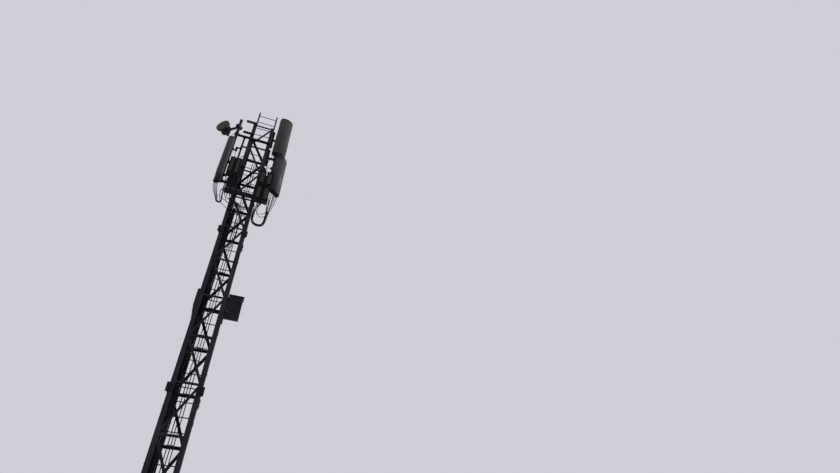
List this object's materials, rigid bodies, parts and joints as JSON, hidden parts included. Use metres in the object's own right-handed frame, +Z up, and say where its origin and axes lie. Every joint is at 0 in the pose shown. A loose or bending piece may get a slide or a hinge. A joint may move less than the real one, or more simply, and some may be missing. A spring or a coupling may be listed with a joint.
{
  "type": "cell tower (square lattice mast with antenna head)",
  "caption": "Slim square steel lattice mast with rear ladder and feeder cables, carrying panel antennas, radio units and a link dish at its head.",
  "frame": {"origin": "centre of the underside of the base plate, where it rests on its foundation", "axes": "+Z up the mast, +X to the right and +Y to the back for someone facing the front, which is the side away from the ladder"},
  "size_m": [2.0053, 0.9659, 16.5],
  "materials": {
    "galvanized_leg": "weathered galvanized steel, matt",
    "galvanized_brace": "weathered galvanized steel, matt",
    "dark_steel": "dark painted steel, matt",
    "bracket_steel": "galvanized steel, satin",
    "cable_jacket": "black polyethylene jacket",
    "strap_steel": "worn steel band",
    "radome_light": "weathered light grey radome",
    "radome_dark": "weathered grey radome",
    "end_cap": "dark end cap",
    "radio_shell": "grey painted cast housing with fins",
    "dish_shell": "olive grey paint, matt",
    "dish_radome": "olive grey fabric radome, matt",
    "box_dark": "dark painted sheet, matt",
    "box_olive": "olive painted sheet, matt"
  },
  "bodies": {
    "root": {"base_plate": "galvanized_leg", "base_gussets": "galvanized_leg", "leg_front_left": "galvanized_leg", "leg_front_right": "galvanized_leg", "leg_back_left": "galvanized_leg", "leg_back_right": "galvanized_leg", "splices_lower": "dark_steel", "splices_middle": "dark_steel", "splices_upper": "dark_steel", "bracing_front": "galvanized_brace", "bracing_back": "galvanized_brace", "bracing_left": "galvanized_brace", "bracing_right": "galvanized_brace", "ladder_rails": "dark_steel", "ladder_rungs": "dark_steel", "ladder_cleats": "bracket_steel", "cable_conduits": "box_olive", "feeder_cables": "cable_jacket", "light_cables": "cable_jacket", "cable_straps": "strap_steel", "arm_main": "dark_steel", "arm_deep": "dark_steel", "arms_radio": "dark_steel", "arms_offset": "dark_steel", "arms_right": "dark_steel", "pole_left": "dark_steel", "pole_hanger": "dark_steel", "pole_right": "dark_steel", "pole_clamps": "bracket_steel", "hanger_box": "dark_steel", "antenna_left": "radome_light", "antenna_upper": "radome_light", "antenna_lower": "radome_dark", "antenna_end_caps": "end_cap", "antenna_brackets": "bracket_steel", "dish_reflector": "dish_shell", "dish_radome": "dish_radome", "dish_radio": "radio_shell", "dish_bracket": "bracket_steel", "radios_left_upper": "radio_shell", "radios_left_lower": "radio_shell", "radios_right_upper": "radio_shell", "radios_right_lower": "radio_shell", "side_box": "box_dark", "side_box_rails": "bracket_steel", "flat_box": "box_olive", "jumper_loop_right": "cable_jacket", "jumper_loop_left": "cable_jacket"}
  },
  "joints": []
}
